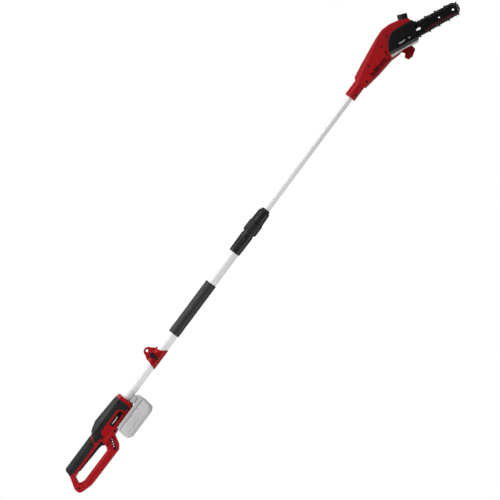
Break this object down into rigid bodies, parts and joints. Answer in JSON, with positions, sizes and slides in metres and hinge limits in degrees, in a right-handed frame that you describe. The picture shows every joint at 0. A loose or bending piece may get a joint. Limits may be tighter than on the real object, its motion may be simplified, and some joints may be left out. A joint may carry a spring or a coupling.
{
  "type": "telescoping pole saw",
  "caption": "Battery pole saw: loop handle with trigger, telescoping pole with twist lock and foam grip, sliding strap carrier, and an angled saw head with oiled bar and chain.",
  "frame": {"origin": "on the pole's axis at the middle of the foam grip", "axes": "+Z along the pole from the handle to the saw head, +X towards the battery and the bar's droop, -Y the chain cover's side"},
  "size_m": [0.1909, 0.0851, 2.1588],
  "materials": {
    "red_housing": "satin moulded ABS",
    "soft_black": "soft overmould",
    "label": "printed film, left blank",
    "screw_steel": "blackened",
    "black_plastic": "fine texture",
    "bright_steel": "ground",
    "circuit_board": "solder mask",
    "contact_brass": "plain",
    "pack_grey": "pale grey",
    "cell_wrap": "shrink sleeve",
    "pole_white": "satin pale coat",
    "pole_alu": "anodised, ribbed",
    "foam": "closed-cell foam",
    "seal_rubber": "plain",
    "cable_jacket": "plain",
    "bush_white": "acetal",
    "gear_steel": "machined",
    "rotor_copper": "varnished winding",
    "cast_case": "die cast",
    "tank_natural": "natural polythene",
    "hose": "oil hose",
    "bar_black": "black enamel",
    "chain_steel": "ground and oiled"
  },
  "bodies": {
    "root": {"handle_shell_near": "red_housing", "handle_shell_far": "red_housing", "grip_skin": "soft_black", "body_skin": "soft_black", "rating_plate": "label", "info_label": "label", "handle_screws": "screw_steel", "trigger_pin": "bright_steel", "trigger_spring": "bright_steel", "main_switch": "black_plastic", "control_board": "circuit_board", "battery_terminals": "contact_brass", "lower_tube": "pole_white", "foam_grip": "foam", "lock_base": "black_plastic", "lock_collet": "black_plastic", "coiled_cable": "cable_jacket"},
    "trigger": {"trigger": "black_plastic"},
    "lock_off": {"lock_off_button": "black_plastic"},
    "battery": {"battery_case": "pack_grey", "battery_lid": "pack_grey", "battery_cells": "cell_wrap", "pack_board": "circuit_board"},
    "latch_near": {"pack_latch_near": "pack_grey"},
    "latch_far": {"pack_latch_far": "pack_grey"},
    "lock_sleeve": {"lock_sleeve": "black_plastic", "lock_wiper": "seal_rubber"},
    "carrier": {"strap_carrier": "red_housing"},
    "carrier_lever": {"clamp_lever": "black_plastic"},
    "upper_pole": {"head_lead": "cable_jacket", "upper_tube": "pole_alu", "guide_bush": "bush_white", "head_shell_near": "red_housing", "head_shell_far": "red_housing", "head_screws": "screw_steel", "motor_can": "gear_steel", "motor_bearings": "bright_steel", "gear_case": "cast_case", "shaft_bearings": "bright_steel", "oil_tank": "tank_natural", "oil_pump": "gear_steel", "oil_line": "hose", "sprocket_cover": "black_plastic", "cover_label": "label", "bar_plate": "bright_steel", "bar_stud": "screw_steel", "bar_nut": "screw_steel", "chain_tensioner": "bright_steel", "guide_bar": "bar_black", "drive_links": "chain_steel", "side_links": "chain_steel", "chain_rivets": "chain_steel"},
    "rotor": {"motor_rotor": "rotor_copper", "motor_pinion": "gear_steel"},
    "sprocket": {"crown_gear": "gear_steel", "sprocket_shaft": "bright_steel", "drive_sprocket": "gear_steel"},
    "oil_cap": {"oil_cap": "black_plastic", "cap_seal": "seal_rubber"}
  },
  "joints": [
    {"name": "pole_extend", "type": "slide", "parent": "root", "child": "upper_pole", "axis": [0, 0, 1], "range_m": [-0.478, 0.249], "deforming": ["coiled_cable"]},
    {"name": "lock_twist", "type": "hinge", "parent": "root", "child": "lock_sleeve", "pos_m": [0, 0, 0.371], "axis": [0, 0, 1], "range_deg": [0, 90]},
    {"name": "trigger_pull", "type": "hinge", "parent": "root", "child": "trigger", "pos_m": [0.0135, 0, -0.687], "axis": [0, -1, 0], "range_deg": [0, 4], "stiffness_Nm_per_rad": 3, "springref_deg": -5.73},
    {"name": "lock_off_press", "type": "slide", "parent": "root", "child": "lock_off", "axis": [0, 1, 0], "range_m": [0, 0.0022], "stiffness_N_per_m": 600, "springref_m": -0.001},
    {"name": "battery_slide", "type": "slide", "parent": "root", "child": "battery", "axis": [0, 0, 1], "range_m": [0, 0.08]},
    {"name": "latch_near_press", "type": "slide", "parent": "battery", "child": "latch_near", "axis": [0, 1, 0], "range_m": [0, 0.003], "stiffness_N_per_m": 500, "springref_m": -0.001},
    {"name": "latch_far_press", "type": "slide", "parent": "battery", "child": "latch_far", "axis": [0, -1, 0], "range_m": [0, 0.003], "stiffness_N_per_m": 500, "springref_m": -0.001},
    {"name": "carrier_slide", "type": "slide", "parent": "root", "child": "carrier", "axis": [0, 0, 1], "range_m": [-0.13, 0.05]},
    {"name": "clamp_turn", "type": "hinge", "parent": "carrier", "child": "carrier_lever", "pos_m": [-0.012, -0.03, -0.213], "axis": [0, -1, 0], "range_deg": [0, 120]},
    {"name": "sprocket_spin", "type": "hinge", "parent": "upper_pole", "child": "sprocket", "pos_m": [0.021, 0, 1.181], "axis": [0, 1, 0], "continuous": true},
    {"name": "rotor_spin", "type": "hinge", "parent": "upper_pole", "child": "rotor", "pos_m": [0.021, 0, 1.181], "axis": [0.1444, 0, 0.9895], "continuous": true},
    {"name": "oil_cap_turn", "type": "hinge", "parent": "upper_pole", "child": "oil_cap", "pos_m": [-0.0125, 0, 1.251], "axis": [-0.749, -0.1826, 0.637], "range_deg": [0, 180]}
  ],
  "couplings": [
    {"joint": "rotor_spin", "follows": "sprocket_spin", "ratio": -3}
  ]
}
